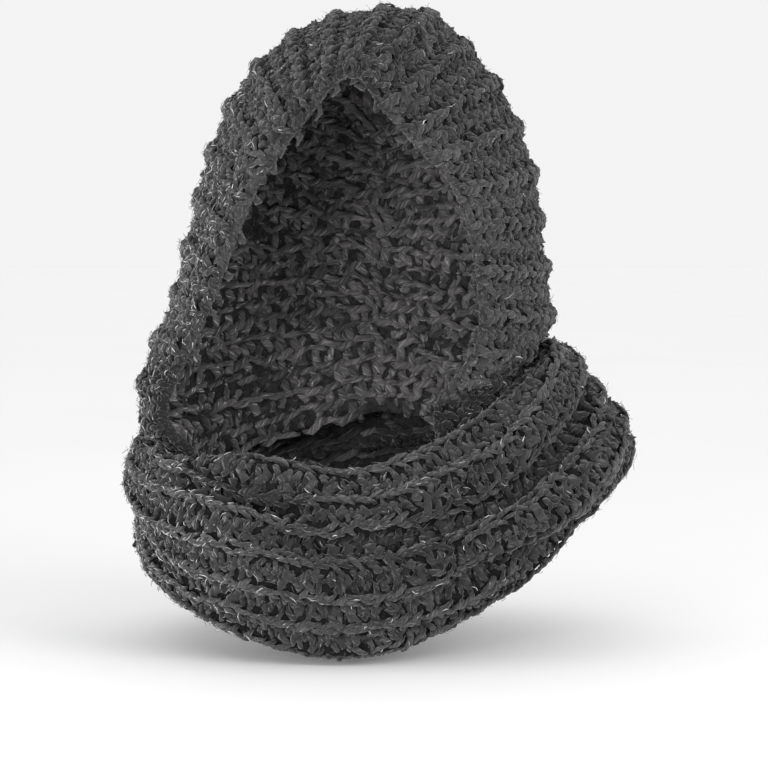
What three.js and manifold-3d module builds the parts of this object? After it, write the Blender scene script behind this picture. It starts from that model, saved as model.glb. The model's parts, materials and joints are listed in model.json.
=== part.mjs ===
// A crocheted snood hood: a soft hood open to the face, whose skirt is tucked into a deep,
// rolled cowl that lies round the neck and shoulders.
// Millimetres, +Z up. The face looks to -Y and +X is on the right of someone who looks at the face.
// The origin is the inside of the crown, where the hood rests on a head.

import * as THREE from 'three';
import { mergeVertices } from 'three/addons/utils/BufferGeometryUtils.js';
import Module from 'manifold-3d';

// Driving sizes of the knitted wall
const WALL = 9;
const RIB_PITCH = 20;
const RIB_RELIEF = 2.6;

// Driving sizes of the hood
const HOOD_REACH = 145; // furthest the hood reaches sideways from the head's axis
const HOOD_DROP = 260; // from the crown down to the lowest part of the hood that shows
const FACE_FORWARD = 100; // from the head's axis to the foremost part of the face edge
const BACK_REACH = 126; // from the head's axis to the furthest part of the back
const EDGE_LEAN = 24; // degrees, how far the hood has turned back where the face edge starts
const SEAM_ASIDE = 14; // how far the back seam lies to the right of the head's axis
const DRAWN_IN = 22; // height over which the hood draws in to pass inside the cowl's rim

// Driving sizes of the cowl
const COWL_REACH = 179; // furthest the cowl reaches sideways from the neck's axis
const COWL_TOP = 210; // from the crown down to the highest part of the cowl's rim
const COWL_DROP = 182; // from there down to the lowest part of its hem
const ROLL = 12; // radius of the soft fold at the cowl's rim
const TUCK = 30; // depth of the turned-in layer below the rim
const CLEARANCE = 0.3; // gap between the hood's skirt and the cowl

// How finely the surfaces are stepped
const STEPS_PER_RIB = 3;
const STEPS_BACK = 12; // from the face edge to the back seam
const STEPS_ROUND = 60; // round the neck
const INNER_STEPS = 12; // down the plain inner side of the cowl

const WIDEST = 0.38; // share of the way from the face edge to the seam where the hood is widest
const SEAT = 1.2; // how far the skirt presses into the cowl before the cowl's shape is cut away
const BACK_FULLNESS = 0.92; // under 1 the back is fuller than an ellipse
const DRAWN_FROM = 0.6; // share of DRAWN_IN above the rim where the drawing in starts
const DRAWN_TO = -0.4; // share of DRAWN_IN, minus below the rim, where it ends
const BORDER_BULGE = 0.33; // how far the hood's borders are rounded out, as a share of WALL
const ARCH_STEPS = 40; // steps in which an arch of the hood is measured

// The hood from the left end of its skirt, over the crown, to the right end. Along is the share of
// the way down from the crown, minus on the left. Asides are shares of HOOD_REACH, minus on the
// left, and downs are shares of HOOD_DROP.
const ARCHES = [
  { along: -1.0, edgeAside: -0.74, edgeDown: 1.155, wideAside: -0.82, wideDown: 1.14 },
  { along: -0.9, edgeAside: -0.872, edgeDown: 0.971, wideAside: -0.972, wideDown: 0.998 },
  { along: -0.8, edgeAside: -0.818, edgeDown: 0.858, wideAside: -0.955, wideDown: 0.852 },
  { along: -0.7, edgeAside: -0.718, edgeDown: 0.749, wideAside: -0.856, wideDown: 0.722 },
  { along: -0.55, edgeAside: -0.592, edgeDown: 0.575, wideAside: -0.752, wideDown: 0.513 },
  { along: -0.4, edgeAside: -0.472, edgeDown: 0.415, wideAside: -0.648, wideDown: 0.3 },
  { along: -0.28, edgeAside: -0.341, edgeDown: 0.308, wideAside: -0.5, wideDown: 0.141 },
  { along: -0.16, edgeAside: -0.209, edgeDown: 0.215, wideAside: -0.279, wideDown: 0.03 },
  { along: -0.08, edgeAside: -0.128, edgeDown: 0.158, wideAside: -0.088, wideDown: -0.012 },
  { along: 0.0, edgeAside: -0.03, edgeDown: 0.135, wideAside: 0.121, wideDown: -0.025 },
  { along: 0.08, edgeAside: 0.054, edgeDown: 0.157, wideAside: 0.324, wideDown: -0.018 },
  { along: 0.16, edgeAside: 0.126, edgeDown: 0.217, wideAside: 0.479, wideDown: 0.054 },
  { along: 0.28, edgeAside: 0.27, edgeDown: 0.306, wideAside: 0.662, wideDown: 0.188 },
  { along: 0.4, edgeAside: 0.433, edgeDown: 0.405, wideAside: 0.783, wideDown: 0.352 },
  { along: 0.55, edgeAside: 0.534, edgeDown: 0.575, wideAside: 0.841, wideDown: 0.563 },
  { along: 0.7, edgeAside: 0.562, edgeDown: 0.761, wideAside: 0.876, wideDown: 0.775 },
  { along: 0.8, edgeAside: 0.498, edgeDown: 0.853, wideAside: 0.83, wideDown: 0.885 },
  { along: 0.9, edgeAside: 0.359, edgeDown: 0.951, wideAside: 0.8, wideDown: 0.97 },
  { along: 1.0, edgeAside: 0.29, edgeDown: 1.123, wideAside: 0.785, wideDown: 1.058 },
];

// The hood's depths, the same on both sides. Forward is a share of FACE_FORWARD, wideBack and
// reach are shares of BACK_REACH, and down is a share of HOOD_DROP.
const DEPTHS = [
  { along: 0.0, forward: 1.0, wideBack: 0.0, reach: 0.9, down: 0.16 },
  { along: 0.16, forward: 0.95, wideBack: 0.04, reach: 0.97, down: 0.26 },
  { along: 0.4, forward: 0.8, wideBack: 0.1, reach: 1.0, down: 0.42 },
  { along: 0.7, forward: 0.62, wideBack: 0.12, reach: 0.95, down: 0.68 },
  { along: 0.85, forward: 0.58, wideBack: 0.1, reach: 0.87, down: 0.84 },
  { along: 1.0, forward: 0.62, wideBack: 0.06, reach: 0.82, down: 1.0 },
];

// The cowl's sections round the neck, by degrees from the front towards the right: its rim, the
// place where it reaches furthest out, and its hem. Reaches are shares of COWL_REACH, and downs are
// shares of COWL_DROP below COWL_TOP.
const RIM = [
  { azimuth: 0, reach: 0.51, down: 0.395 },
  { azimuth: 45, reach: 0.59, down: 0.245 },
  { azimuth: 90, reach: 0.71, down: 0.0 },
  { azimuth: 135, reach: 0.76, down: 0.02 },
  { azimuth: 180, reach: 0.68, down: 0.1 },
  { azimuth: 225, reach: 0.76, down: 0.22 },
  { azimuth: 270, reach: 0.77, down: 0.34 },
  { azimuth: 294, reach: 0.77, down: 0.35 },
  { azimuth: 315, reach: 0.635, down: 0.37 },
];
const BELLY = [
  { azimuth: 0, reach: 0.72, down: 0.66 },
  { azimuth: 45, reach: 0.82, down: 0.55 },
  { azimuth: 90, reach: 1.0, down: 0.345 },
  { azimuth: 135, reach: 0.92, down: 0.36 },
  { azimuth: 180, reach: 0.83, down: 0.43 },
  { azimuth: 225, reach: 0.9, down: 0.5 },
  { azimuth: 270, reach: 0.83, down: 0.5 },
  { azimuth: 315, reach: 0.84, down: 0.6 },
];
const HEM = [
  { azimuth: 0, reach: 0.65, down: 1.0 },
  { azimuth: 45, reach: 0.65, down: 0.845 },
  { azimuth: 90, reach: 0.8, down: 0.55 },
  { azimuth: 135, reach: 0.8, down: 0.64 },
  { azimuth: 180, reach: 0.75, down: 0.72 },
  { azimuth: 225, reach: 0.79, down: 0.78 },
  { azimuth: 270, reach: 0.74, down: 0.78 },
  { azimuth: 315, reach: 0.69, down: 0.92 },
];

// Where the wall passes between those three, as shares of the way out and down from one to the next
const BELOW_RIM = { out: 0.52, down: 0.45 };
const ABOVE_HEM = { out: 0.36, down: 0.58 };

// Folds pressed into the cowl, each along a line from one place to another. Azimuths are degrees
// from the front, levels are shares of the way from the turned-in end (0) to the hem (1), and
// depths and widths are shares of ROLL.
const FOLDS = [
  { fromAzimuth: 0, fromLevel: 0.6, toAzimuth: 84, toLevel: 0.42, depth: 1.35, width: 0.85 },
  { fromAzimuth: 22, fromLevel: 0.7, toAzimuth: 74, toLevel: 0.84, depth: 0.9, width: 0.8 },
  { fromAzimuth: -50, fromLevel: 0.33, toAzimuth: -18, toLevel: 0.41, depth: 0.8, width: 0.8 },
  { fromAzimuth: -26, fromLevel: 0.52, toAzimuth: 12, toLevel: 0.62, depth: 0.75, width: 0.75 },
  { fromAzimuth: 112, fromLevel: 0.55, toAzimuth: 214, toLevel: 0.6, depth: 0.7, width: 1.1 },
  { fromAzimuth: 232, fromLevel: 0.62, toAzimuth: 305, toLevel: 0.66, depth: 0.5, width: 1.0 },
];
const FOLD_SWELL = 0.35; // how far the cloth swells beside a fold, as a share of the fold's depth
const SWELL_AWAY = 2.2; // how far from the fold that is, as a share of the fold's width
const FOLD_RADIUS = 0.8; // share of COWL_REACH at which the folds' azimuths are measured
const FOLD_START = 90; // degrees before a fold's first azimuth where the turn round the neck begins

const radians = THREE.MathUtils.degToRad;
const mix = THREE.MathUtils.lerp;

// A smooth curve through the rows of a table, read at one place: each column becomes one number.
function readTable(rows, key, place) {
  let next = rows.findIndex((row) => row[key] >= place);
  next = Math.min(Math.max(next === -1 ? rows.length - 1 : next, 1), rows.length - 1);
  const row = (index) => rows[Math.min(Math.max(index, 0), rows.length - 1)];
  const [before, from, to, after] = [row(next - 2), row(next - 1), row(next), row(next + 1)];
  const span = to[key] - from[key];
  const share = THREE.MathUtils.clamp((place - from[key]) / span, 0, 1);
  const read = {};
  for (const column of Object.keys(from)) {
    const slopeFrom = (to[column] - before[column]) / Math.max(to[key] - before[key], span);
    const slopeTo = (after[column] - from[column]) / Math.max(after[key] - from[key], span);
    const hermite = [
      2 * share ** 3 - 3 * share ** 2 + 1,
      share ** 3 - 2 * share ** 2 + share,
      3 * share ** 2 - 2 * share ** 3,
      share ** 3 - share ** 2,
    ];
    read[column] =
      hermite[0] * from[column] +
      hermite[1] * slopeFrom * span +
      hermite[2] * to[column] +
      hermite[3] * slopeTo * span;
  }
  return read;
}

// One row round the neck, read at an azimuth. The rows are there once more before and after the
// full turn, so that reading them has no seam. Reaches are those of the outer face.
function readRound(rows, azimuth) {
  const turns = [-360, 0, 360].flatMap((turn) =>
    rows.map((row) => ({ ...row, azimuth: row.azimuth + turn })),
  );
  const read = readTable(turns, 'azimuth', THREE.MathUtils.euclideanModulo(azimuth, 360));
  return { out: read.reach * COWL_REACH, up: -COWL_TOP - read.down * COWL_DROP };
}

// The middle of the cowl's wall in one section: up the turned-in layer, over the rim's roll and
// down the outside to the hem, as points of (reach, height).
function cowlMiddle(azimuth) {
  const [rim, belly, hem] = [RIM, BELLY, HEM].map((rows) => readRound(rows, azimuth));
  const half = WALL / 2;
  const outer = belly.out - half;
  const foot = hem.out - half;
  return new THREE.CatmullRomCurve3(
    [
      [rim.out - ROLL, rim.up - half - TUCK],
      [rim.out - ROLL, rim.up - half - ROLL],
      [rim.out, rim.up - half],
      [mix(rim.out, outer, BELOW_RIM.out), mix(rim.up, belly.up, BELOW_RIM.down)],
      [outer, belly.up],
      [mix(outer, foot, ABOVE_HEM.out), mix(belly.up, hem.up, ABOVE_HEM.down)],
      [foot, hem.up],
    ].map(([out, up]) => new THREE.Vector3(out, up, 0)),
    false,
    'centripetal',
  );
}

// How far the folds move the cowl's wall outwards at one place.
function foldPush(azimuth, level, length) {
  const round = radians(1) * COWL_REACH * FOLD_RADIUS;
  let push = 0;
  for (const fold of FOLDS) {
    const span = new THREE.Vector2(
      (fold.toAzimuth - fold.fromAzimuth) * round,
      (fold.toLevel - fold.fromLevel) * length,
    );
    const turned = THREE.MathUtils.euclideanModulo(azimuth - fold.fromAzimuth + FOLD_START, 360);
    const away = new THREE.Vector2(
      (turned - FOLD_START) * round,
      (level - fold.fromLevel) * length,
    );
    const share = THREE.MathUtils.clamp(away.dot(span) / span.lengthSq(), 0, 1);
    const distance = away.sub(span.multiplyScalar(share)).length() / (fold.width * ROLL);
    const depth = fold.depth * ROLL * Math.sqrt(Math.max(4 * share * (1 - share), 0));
    push -= depth * Math.exp(-(distance ** 2));
    push += depth * FOLD_SWELL * Math.exp(-((distance - SWELL_AWAY) ** 2));
  }
  return push;
}

// The height of the ribs at a place that is measured in ribs.
function ribHeight(ribs) {
  return RIB_RELIEF * (0.5 + 0.5 * Math.cos(2 * Math.PI * ribs)) - RIB_RELIEF / 2;
}

// A closed geometry from points and triangles.
function geometryOf(points, triangles) {
  const geometry = new THREE.BufferGeometry();
  const places = points.flatMap((point) => point.toArray());
  geometry.setAttribute('position', new THREE.Float32BufferAttribute(places, 3));
  geometry.setIndex(triangles);
  return geometry;
}

const levelLength = cowlMiddle(0).getLength();
const cowlRibs = Math.round(levelLength / RIB_PITCH);

// The cowl: its wall in STEPS_ROUND sections, each a closed outline. Grown is how much larger the
// solid is on all sides, which makes the room that the hood's skirt is cut to.
function cowlGeometry(grown = 0) {
  const half = WALL / 2 + grown;
  const outerSteps = cowlRibs * STEPS_PER_RIB;
  const points = [];
  let ring = 0;
  for (let turn = 0; turn < STEPS_ROUND; turn += 1) {
    const azimuth = (360 * turn) / STEPS_ROUND;
    const middle = cowlMiddle(azimuth);
    const length = middle.getLength();
    const place = (level, side, end = 0) => {
      const at = middle.getPointAt(level);
      const along = middle.getTangentAt(level);
      const outwards = new THREE.Vector3(-along.y, along.x, 0);
      const ribs = side > 0 ? ribHeight(level * cowlRibs) : 0;
      const push = foldPush(azimuth, level, length) + side * half + ribs;
      at.addScaledVector(outwards, push).addScaledVector(along, end * half);
      const angle = radians(azimuth);
      return new THREE.Vector3(at.x * Math.sin(angle), -at.x * Math.cos(angle), at.y);
    };
    const outline = [];
    for (let step = 0; step <= outerSteps; step += 1) {
      outline.push(place(step / outerSteps, 1));
    }
    outline.push(place(1, 0, 1));
    for (let step = INNER_STEPS; step >= 0; step -= 1) {
      outline.push(place(step / INNER_STEPS, -1));
    }
    outline.push(place(0, 0, -1));
    ring = outline.length;
    points.push(...outline);
  }
  const triangles = [];
  for (let turn = 0; turn < STEPS_ROUND; turn += 1) {
    const here = turn * ring;
    const there = ((turn + 1) % STEPS_ROUND) * ring;
    for (let step = 0; step < ring; step += 1) {
      const next = (step + 1) % ring;
      triangles.push(here + step, here + next, there + step);
      triangles.push(here + next, there + next, there + step);
    }
  }
  return geometryOf(points, triangles);
}

// One place on the hood's outer face. Along is as in ARCHES and back goes from the face edge (0)
// to the seam (1).
function hoodPlace(along, back) {
  const arch = readTable(ARCHES, 'along', along);
  const depth = readTable(DEPTHS, 'along', Math.abs(along));
  const edge = new THREE.Vector3(
    arch.edgeAside * HOOD_REACH,
    -depth.forward * FACE_FORWARD,
    -arch.edgeDown * HOOD_DROP,
  );
  const wide = new THREE.Vector3(
    arch.wideAside * HOOD_REACH,
    depth.wideBack * BACK_REACH,
    -arch.wideDown * HOOD_DROP,
  );
  const seam = new THREE.Vector3(SEAM_ASIDE, depth.reach * BACK_REACH, -depth.down * HOOD_DROP);
  if (back < WIDEST) {
    const angle = mix(radians(EDGE_LEAN), Math.PI / 2, back / WIDEST);
    const turned = Math.sin(radians(EDGE_LEAN));
    const out = (Math.sin(angle) - turned) / (1 - turned);
    const forward = Math.cos(angle) / Math.cos(radians(EDGE_LEAN));
    return new THREE.Vector3(
      mix(edge.x, wide.x, out),
      mix(wide.y, edge.y, forward),
      mix(edge.z, wide.z, out),
    );
  }
  const angle = ((back - WIDEST) / (1 - WIDEST)) * (Math.PI / 2);
  const out = Math.max(Math.cos(angle), 0) ** BACK_FULLNESS;
  const behind = Math.sin(angle) ** BACK_FULLNESS;
  return new THREE.Vector3(
    mix(seam.x, wide.x, out),
    mix(wide.y, seam.y, behind),
    mix(wide.z, seam.z, 1 - Math.cos(angle)),
  );
}

// The same place drawn in where the hood goes down inside the cowl, so that its skirt lies against
// the cowl's turned-in layer.
function hoodPoint(along, back) {
  const point = hoodPlace(along, back);
  const reach = Math.hypot(point.x, point.y);
  const rim = readRound(RIM, THREE.MathUtils.radToDeg(Math.atan2(point.x, -point.y)));
  const seat = rim.out - ROLL - WALL / 2 + SEAT;
  const above = (point.z - rim.up) / DRAWN_IN;
  const share = 1 - THREE.MathUtils.smoothstep(above, DRAWN_TO, DRAWN_FROM);
  const drawn = mix(reach, seat, share) / reach;
  return new THREE.Vector3(point.x * drawn, point.y * drawn, point.z);
}

// How many ribs there are from the crown to the end of the skirt, from the length along the
// widest arch.
function hoodRibCount() {
  let length = 0;
  for (let step = 0; step < ARCH_STEPS; step += 1) {
    const here = hoodPoint(-step / ARCH_STEPS, WIDEST);
    length += here.distanceTo(hoodPoint(-(step + 1) / ARCH_STEPS, WIDEST));
  }
  return Math.round(length / RIB_PITCH);
}

// The hood: an outer and an inner face, a wall apart, joined round the face edge and the skirt.
// The two sides share their points down the back seam.
function hoodGeometry() {
  const ribs = hoodRibCount();
  const half = ribs * STEPS_PER_RIB;
  const rows = 2 * half + 1;
  const columns = STEPS_BACK + 1;
  const points = [];
  const alongs = [];
  const index = [];
  for (let row = 0; row < rows; row += 1) {
    index.push([]);
    const along = (row - half) / half;
    for (let column = 0; column < columns; column += 1) {
      if (column === STEPS_BACK && row > half) {
        index[row].push(index[2 * half - row][column]);
      } else {
        index[row].push(points.length);
        const left = hoodPoint(along, column / STEPS_BACK);
        const right = hoodPoint(-along, column / STEPS_BACK);
        points.push(column === STEPS_BACK ? left.lerp(right, 0.5) : left);
        alongs.push(along);
      }
    }
  }
  const faces = [];
  for (let row = 0; row < rows - 1; row += 1) {
    for (let column = 0; column < STEPS_BACK; column += 1) {
      const [a, b] = [index[row][column], index[row][column + 1]];
      const [c, d] = [index[row + 1][column], index[row + 1][column + 1]];
      faces.push(a, c, b);
      if (d !== b) {
        faces.push(b, c, d);
      }
    }
  }
  const skin = geometryOf(points, faces);
  skin.computeVertexNormals();
  const { normal } = skin.attributes;
  const normals = points.map((_, at) => new THREE.Vector3().fromBufferAttribute(normal, at));
  const outer = points.map((point, at) => {
    return point.clone().addScaledVector(normals[at], ribHeight(alongs[at] * ribs));
  });
  const inner = points.map((point, at) => point.clone().addScaledVector(normals[at], -WALL));
  const all = [...outer, ...inner];
  const count = points.length;
  const triangles = [...faces];
  for (let at = 0; at < faces.length; at += 3) {
    triangles.push(count + faces[at], count + faces[at + 2], count + faces[at + 1]);
  }
  const border = [];
  for (let row = 0; row < rows; row += 1) {
    border.push({ at: index[row][0], inwards: index[row][1] });
  }
  for (let column = 1; column < columns; column += 1) {
    border.push({ at: index[rows - 1][column], inwards: index[rows - 2][column] });
  }
  for (let column = columns - 2; column > 0; column -= 1) {
    border.push({ at: index[0][column], inwards: index[1][column] });
  }
  const bead = border.map(({ at, inwards }) => {
    const away = points[at].clone().sub(points[inwards]).normalize();
    const middle = points[at].clone().addScaledVector(normals[at], -WALL / 2);
    all.push(middle.addScaledVector(away, BORDER_BULGE * WALL));
    return all.length - 1;
  });
  for (let step = 0; step < border.length; step += 1) {
    const next = (step + 1) % border.length;
    const [here, there] = [border[step].at, border[next].at];
    triangles.push(here, bead[step], there, there, bead[step], bead[next]);
    triangles.push(count + here, count + there, bead[step], count + there, bead[next], bead[step]);
  }
  return geometryOf(all, triangles);
}

const wasm = await Module();
wasm.setup();

// A solid for cutting from a closed geometry, and the other way round.
function toSolid(geometry) {
  const merged = mergeVertices(geometry);
  return new wasm.Manifold(
    new wasm.Mesh({
      numProp: 3,
      vertProperties: new Float32Array(merged.attributes.position.array),
      triVerts: new Uint32Array(merged.index.array),
    }),
  );
}

function fromSolid(solid) {
  const mesh = solid.getMesh();
  const geometry = new THREE.BufferGeometry();
  geometry.setAttribute('position', new THREE.BufferAttribute(mesh.vertProperties, 3));
  geometry.setIndex(new THREE.BufferAttribute(mesh.triVerts, 1));
  return geometry;
}

// The hood's skirt is cut to the cowl with the clearance all round.
const hoodSolid = toSolid(hoodGeometry()).subtract(toSolid(cowlGeometry(CLEARANCE)));

const wool = new THREE.MeshStandardMaterial({ color: 0x4b4a4c, roughness: 0.95, metalness: 0 });

const group = new THREE.Group();

const hood = new THREE.Mesh(fromSolid(hoodSolid), wool.clone());
hood.name = 'hood';
group.add(hood);

const cowl = new THREE.Mesh(cowlGeometry(), wool.clone());
cowl.name = 'cowl';
group.add(cowl);

export default group;
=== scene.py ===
# A crocheted snood hood in thick charcoal wool: the ribbed hood, the rolled cowl that its skirt
# goes down into, and every stitch of both.
# Metres, +Z up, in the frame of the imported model. The face looks to -Y.

import json
import math

import bmesh
import bpy
import numpy as np
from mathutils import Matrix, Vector

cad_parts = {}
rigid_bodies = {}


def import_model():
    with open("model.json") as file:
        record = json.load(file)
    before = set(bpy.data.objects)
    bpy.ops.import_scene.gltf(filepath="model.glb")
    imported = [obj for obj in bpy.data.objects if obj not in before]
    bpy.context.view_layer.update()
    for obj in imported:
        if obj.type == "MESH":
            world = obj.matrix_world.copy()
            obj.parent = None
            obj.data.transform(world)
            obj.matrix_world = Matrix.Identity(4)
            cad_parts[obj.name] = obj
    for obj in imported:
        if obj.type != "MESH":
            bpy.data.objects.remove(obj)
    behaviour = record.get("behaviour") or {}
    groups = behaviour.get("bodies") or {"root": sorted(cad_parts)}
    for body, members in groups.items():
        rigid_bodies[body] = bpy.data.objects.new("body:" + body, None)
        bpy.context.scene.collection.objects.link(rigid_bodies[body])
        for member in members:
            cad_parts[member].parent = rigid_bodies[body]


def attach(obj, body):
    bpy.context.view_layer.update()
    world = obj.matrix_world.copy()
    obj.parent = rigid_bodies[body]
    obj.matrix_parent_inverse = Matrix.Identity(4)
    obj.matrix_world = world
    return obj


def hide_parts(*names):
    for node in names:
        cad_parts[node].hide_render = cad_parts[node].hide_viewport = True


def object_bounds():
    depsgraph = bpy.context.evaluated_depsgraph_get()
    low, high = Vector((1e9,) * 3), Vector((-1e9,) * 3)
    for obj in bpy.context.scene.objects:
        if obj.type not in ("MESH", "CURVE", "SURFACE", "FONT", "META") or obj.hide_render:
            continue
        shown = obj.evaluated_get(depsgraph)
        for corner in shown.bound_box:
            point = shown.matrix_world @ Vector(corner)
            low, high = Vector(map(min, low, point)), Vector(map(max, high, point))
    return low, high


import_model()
CAD_BOX = [list(corner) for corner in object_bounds()]

bl_info = {
    "name": "Snood hood",
    "version": (1, 0, 0),
    "blender": (4, 5, 0),
    "location": "3D View > Sidebar > Snood",
    "description": "Makes a crocheted snood hood with its stitches, edges and loose fibres",
    "category": "Object",
}

BODY = "root"
MM = 0.001


def tabled(columns, *rows):
    return {"columns": columns.split(), "rows": rows}


# The hood from the left end of its skirt, over the crown, to the right end. Asides are shares of
# the hood's reach, minus on the left, and downs are shares of its drop.
ARCHES = tabled(
    "along edge_aside edge_down wide_aside wide_down",
    (-1.0, -0.74, 1.155, -0.82, 1.14),
    (-0.9, -0.872, 0.971, -0.972, 0.998),
    (-0.8, -0.818, 0.858, -0.955, 0.852),
    (-0.7, -0.718, 0.749, -0.856, 0.722),
    (-0.55, -0.592, 0.575, -0.752, 0.513),
    (-0.4, -0.472, 0.415, -0.648, 0.3),
    (-0.28, -0.341, 0.308, -0.5, 0.141),
    (-0.16, -0.209, 0.215, -0.279, 0.03),
    (-0.08, -0.128, 0.158, -0.088, -0.012),
    (0.0, -0.03, 0.135, 0.121, -0.025),
    (0.08, 0.054, 0.157, 0.324, -0.018),
    (0.16, 0.126, 0.217, 0.479, 0.054),
    (0.28, 0.27, 0.306, 0.662, 0.188),
    (0.4, 0.433, 0.405, 0.783, 0.352),
    (0.55, 0.534, 0.575, 0.841, 0.563),
    (0.7, 0.562, 0.761, 0.876, 0.775),
    (0.8, 0.498, 0.853, 0.83, 0.885),
    (0.9, 0.359, 0.951, 0.8, 0.97),
    (1.0, 0.29, 1.123, 0.785, 1.058),
)

# The hood's depths, the same on both sides: shares of the face's forward reach, the back's reach
# and the hood's drop.
DEPTHS = tabled(
    "along forward wide_back reach down",
    (0.0, 1.0, 0.0, 0.9, 0.16),
    (0.16, 0.95, 0.04, 0.97, 0.26),
    (0.4, 0.8, 0.1, 1.0, 0.42),
    (0.7, 0.62, 0.12, 0.95, 0.68),
    (0.85, 0.58, 0.1, 0.87, 0.84),
    (1.0, 0.62, 0.06, 0.82, 1.0),
)

# The cowl's sections round the neck, by degrees from the front towards the right: its rim, where it
# reaches furthest out, and its hem. Reaches are shares of the cowl's reach, downs of its drop.
RIM = tabled(
    "azimuth reach down",
    (0, 0.51, 0.395),
    (45, 0.59, 0.245),
    (90, 0.71, 0.0),
    (135, 0.76, 0.02),
    (180, 0.68, 0.1),
    (225, 0.76, 0.22),
    (270, 0.77, 0.34),
    (294, 0.77, 0.35),
    (315, 0.635, 0.37),
)
BELLY = tabled(
    "azimuth reach down",
    (0, 0.72, 0.66),
    (45, 0.82, 0.55),
    (90, 1.0, 0.345),
    (135, 0.92, 0.36),
    (180, 0.83, 0.43),
    (225, 0.9, 0.5),
    (270, 0.83, 0.5),
    (315, 0.84, 0.6),
)
HEM = tabled(
    "azimuth reach down",
    (0, 0.65, 1.0),
    (45, 0.65, 0.845),
    (90, 0.8, 0.55),
    (135, 0.8, 0.64),
    (180, 0.75, 0.72),
    (225, 0.79, 0.78),
    (270, 0.74, 0.78),
    (315, 0.69, 0.92),
)

# Folds pressed into the cowl, each from one place to another. Levels are shares of the way from
# the turned-in end to the hem, and depths and widths are shares of the roll's radius.
FOLDS = tabled(
    "from_azimuth from_level to_azimuth to_level depth width",
    (0, 0.6, 84, 0.42, 1.35, 0.85),
    (22, 0.7, 74, 0.84, 0.9, 0.8),
    (-54, 0.33, -14, 0.42, 1.2, 0.72),
    (-26, 0.52, 12, 0.62, 0.75, 0.75),
    (112, 0.55, 214, 0.6, 0.7, 1.1),
    (232, 0.62, 305, 0.66, 0.5, 1.0),
)
FOLD_SWELL = 0.35

# The yarns of one stitch. Along is in stitches and across in ribs, from the ridge; angle is in
# degrees from the row; length and thickness are shares of a yarn's; lift is in millimetres. Form is
# the row of FORMS that the yarn is picked from.
COWL_STITCH = tabled(
    "along across angle length thickness lift form",
    (0.0, -0.06, 15, 1.1, 0.8, 1.1, 0),
    (0.5, 0.06, -15, 1.1, 0.8, 1.1, 0),
    (0.15, 0.27, 78, 0.85, 1.0, 0.1, 1),
    (0.6, 0.42, 104, 0.8, 0.95, -0.3, 1),
    (0.2, 0.6, 70, 0.8, 0.95, -0.3, 1),
    (0.65, 0.76, 100, 0.85, 1.0, 0.1, 1),
)
HOOD_STITCH = tabled(
    "along across angle length thickness lift form",
    (0.0, -0.12, 25, 1.0, 1.0, 0.6, 0),
    (0.4, 0.12, -25, 1.0, 1.0, 0.6, 0),
    (0.15, 0.36, 74, 0.8, 1.0, 0.0, 1),
    (0.65, 0.52, 110, 0.75, 1.05, -0.4, 1),
    (0.2, 0.7, 66, 0.8, 1.0, 0.0, 1),
)
INNER_STITCH = tabled(
    "along across angle length thickness lift form",
    (0.0, 0.0, 7, 1.6, 1.2, 0.9, 2),
    (0.3, 0.36, 76, 1.15, 1.6, -0.3, 2),
    (0.75, 0.68, 104, 1.15, 1.6, -0.3, 2),
)

# The grids' points, the steps of a curve between two knots, and the walls' coarser steps.
HOOD_ROWS = 361
HOOD_COLUMNS = 73
COWL_LEVELS = 181
COWL_TURNS = 361
CURVE_STEPS = 30
WALL_STEP = 3
# Where the hood is widest on its way to the back, how far its skirt is pressed into the rim, how
# full its back is, how much every second row is a rib, and how much painted shade darkens the cowl's
# valleys.
WIDEST = 0.38
SEAT = 1.2 * MM
BACK_FULLNESS = 0.92
PAIRED = 0.75
COWL_VALLEY_SHADE = 0.6
# How deep each wall lies under its stitches, and how far below the rim the hood has any.
UNDER_STITCHES = {"hood": 2.3 * MM, "cowl": 2.5 * MM}
UNDER_LINING = 2.2 * MM
SKIRT_SHOWS = 8 * MM
# How long and thick the fibres are, and how high they lie: shares of a yarn's.
FUZZ_SIZE, FUZZ_LIFT = (0.45, 0.08), 0.45
FLECK_SIZE, FLECK_LIFT = (0.42, 0.15), 0.42
# The plies round a yarn, as three waves in radians, and how much painted light lightens the inner
# yarn, for the inside where little light comes.
PLIES = 18.85
INNER_PAINTED_LIGHT = 3.1
# The turn round the border and the lean of each lap of its yarn, in degrees.
LAPS = ((-60, -24), (-20, 30), (20, -28), (60, 24))
# How unevenly the stitches lie: along in stitches, across in ribs, out of the face, lift in metres.
LOOSE_ALONG, LOOSE_ACROSS, LOOSE_OUT, LOOSE_LIFT = 0.12, 0.03, 0.12, 0.4 * MM
# How much the cloth puffs up in millimetres, and how much of a yarn's thickness lies sunk in it.
PUFF = 0.7
SUNK = 0.3
# Painted light on the ridge's yarns, painted shade on the others, and painted shade in creases.
RIDGE_PAINTED_LIGHT, REST_PAINTED_SHADE, CREASE_PAINTED_SHADE = 0.16, -0.06, 1.3
# How much painted shade darkens the hood where it enters the cowl, at the crown, and high and low on the
# left.
ENTRY_PAINTED_SHADE, CROWN_PAINTED_SHADE, LEFT_PAINTED_SHADE = 1.9, 0.6, (0.15, 1.4)
# How much painted light lightens the cowl all over, on the left and on the right.
COWL_PAINTED_LIGHT, COWL_LEFT_PAINTED_LIGHT, COWL_RIGHT_PAINTED_LIGHT = 0.12, 0.55, 0.2
# How much further apart the stitches inside lie, and the seeds of the random draws.
INNER_SPREAD = {"hood": 1.4, "cowl": 1.55}
HOOD_SEED, COWL_SEED, FIBRE_SEED = 11, 23, 37
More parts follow.
